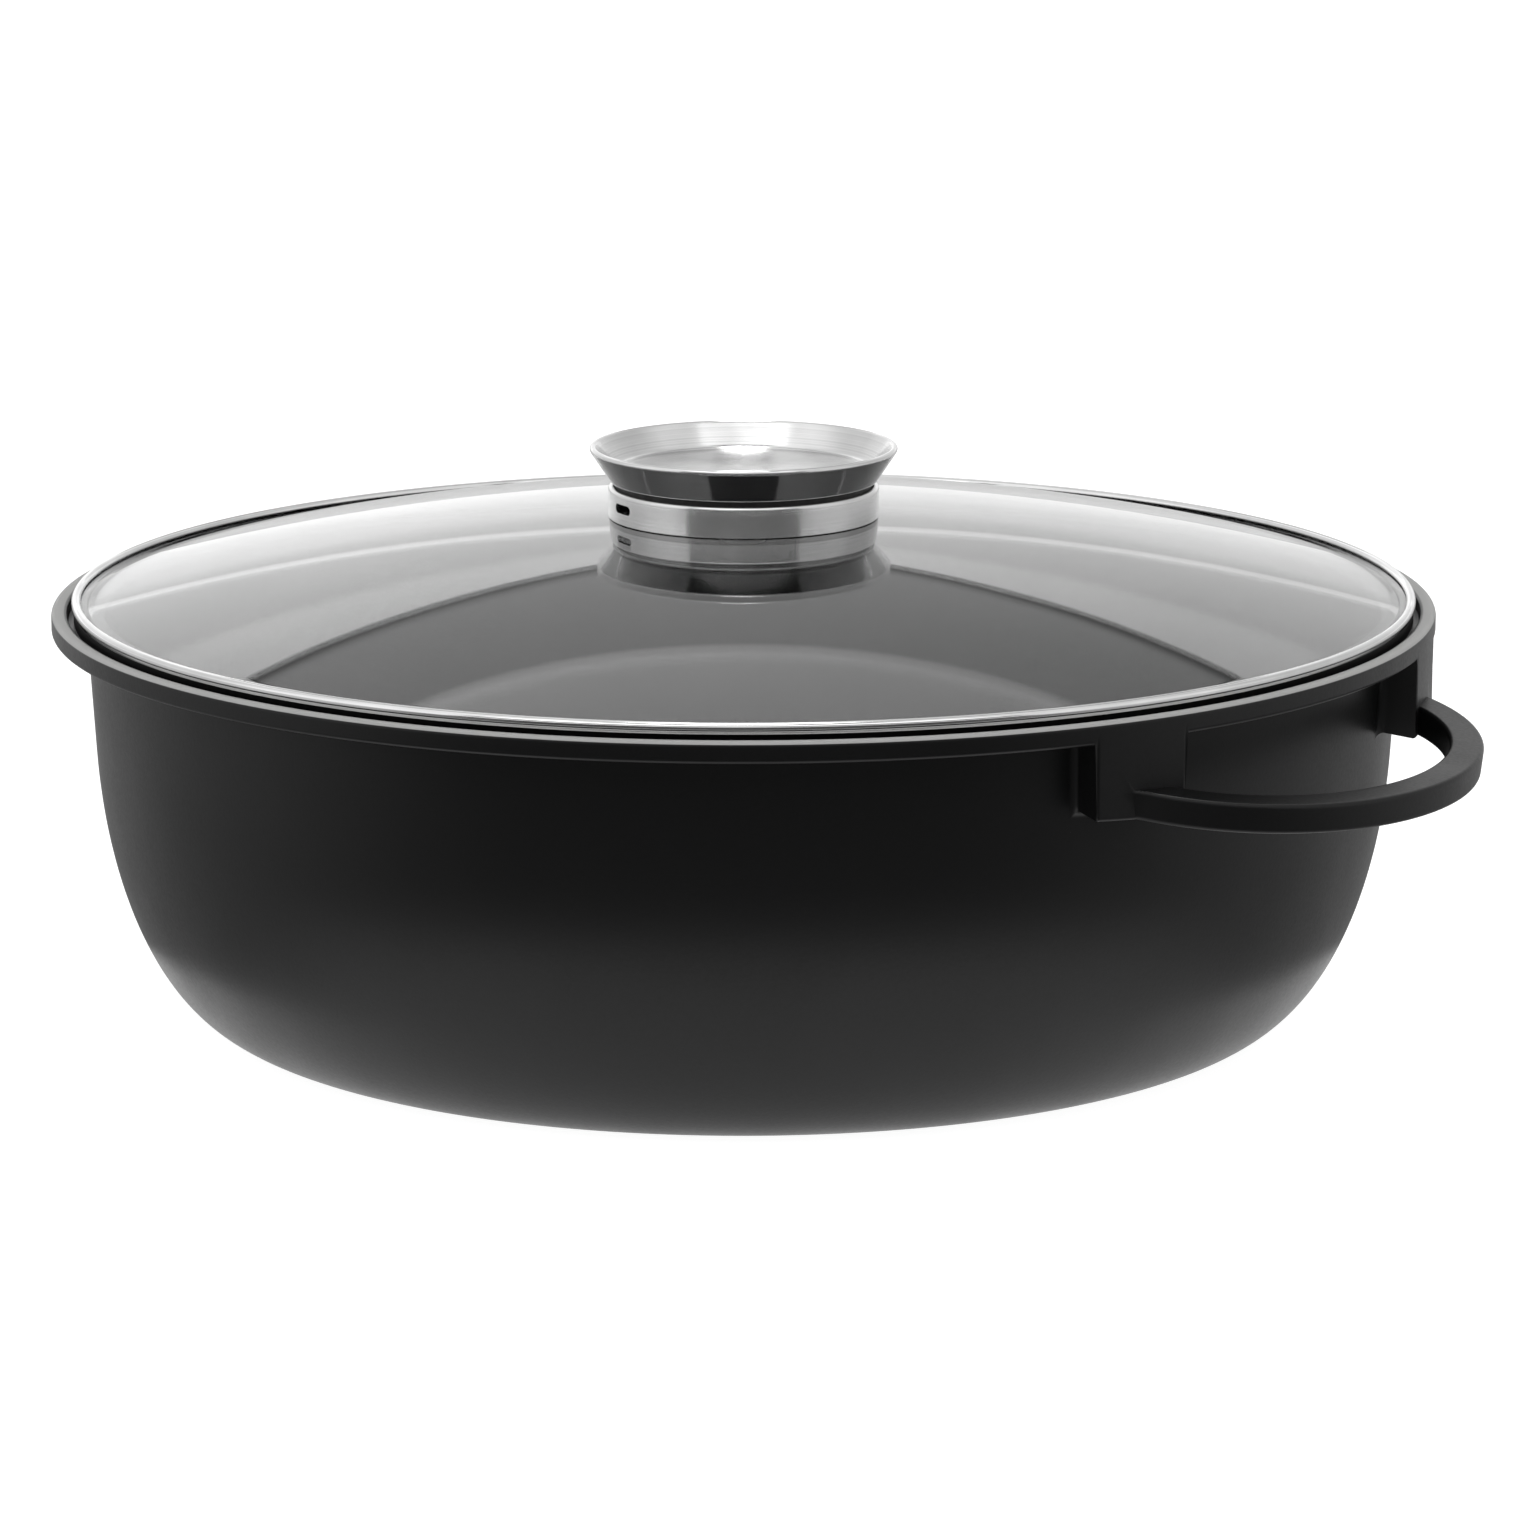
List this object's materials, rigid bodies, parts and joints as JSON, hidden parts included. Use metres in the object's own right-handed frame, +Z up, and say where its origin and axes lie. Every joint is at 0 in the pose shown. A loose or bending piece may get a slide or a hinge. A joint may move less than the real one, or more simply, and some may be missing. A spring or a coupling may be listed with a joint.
{
  "type": "roasting pot",
  "caption": "Low round cast-aluminium roasting pot with a black non-stick finish, cast loop handles and a lift-off domed glass lid with a steel rim and a dish-shaped knob.",
  "frame": {"origin": "centre of the base, on the surface that the pot stands on", "axes": "+Z up along the pot's axis, +X through the two loop handles"},
  "size_m": [0.3834, 0.33, 0.1371],
  "materials": {
    "coated_casting": "cast aluminium under a matt black non-stick coating",
    "lid_glass": "clear toughened glass, polished",
    "polished_steel": "turned and polished stainless steel",
    "plain_steel": "plain stainless steel",
    "core_resin": "heat-proof black phenolic resin",
    "silicone": "matt black silicone"
  },
  "bodies": {
    "pot": {"pot": "coated_casting"},
    "lid": {"lid_glass": "lid_glass", "lid_rim_band": "polished_steel", "knob_dish": "polished_steel", "knob_collar": "polished_steel", "knob_core": "core_resin", "knob_seal": "silicone", "inner_seal": "silicone", "inner_washer": "plain_steel", "vent_screw": "plain_steel"}
  },
  "joints": [
    {"name": "lid_lift", "type": "slide", "parent": "pot", "child": "lid", "axis": [0, 0, 1], "range_m": [0, 0.08]}
  ]
}
